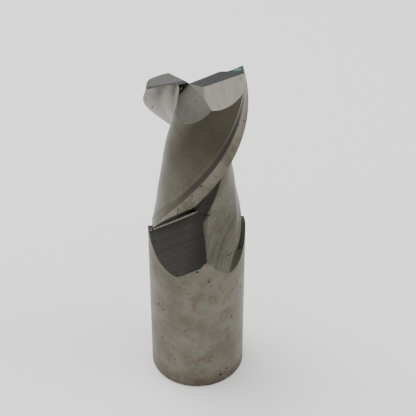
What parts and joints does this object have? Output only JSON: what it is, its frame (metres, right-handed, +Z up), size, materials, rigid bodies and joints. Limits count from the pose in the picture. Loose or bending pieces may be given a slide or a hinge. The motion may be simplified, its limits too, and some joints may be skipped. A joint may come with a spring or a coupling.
{
  "type": "end mill",
  "caption": "Solid right-hand end mill with helical flutes, ground end teeth that cut to the centre, milled flute run-outs and a plain round shank of the cutting diameter.",
  "frame": {"origin": "middle of the shank's bottom face, where the tool stands", "axes": "+Z up the tool's axis to the cutting end, front at -Y, first tooth's corner 25.4 degrees counter-clockwise from +X"},
  "size_m": [0.0318, 0.0318, 0.1143],
  "materials": {
    "high_speed_steel": "milled and ground high-speed steel, handled, with fine feed lines and a grey-brown tarnish",
    "shank_steel": "ground shank steel, tarnished olive grey with rust tints and small pits"
  },
  "bodies": {
    "root": {"cutter_head": "high_speed_steel", "shank": "shank_steel"}
  },
  "joints": []
}
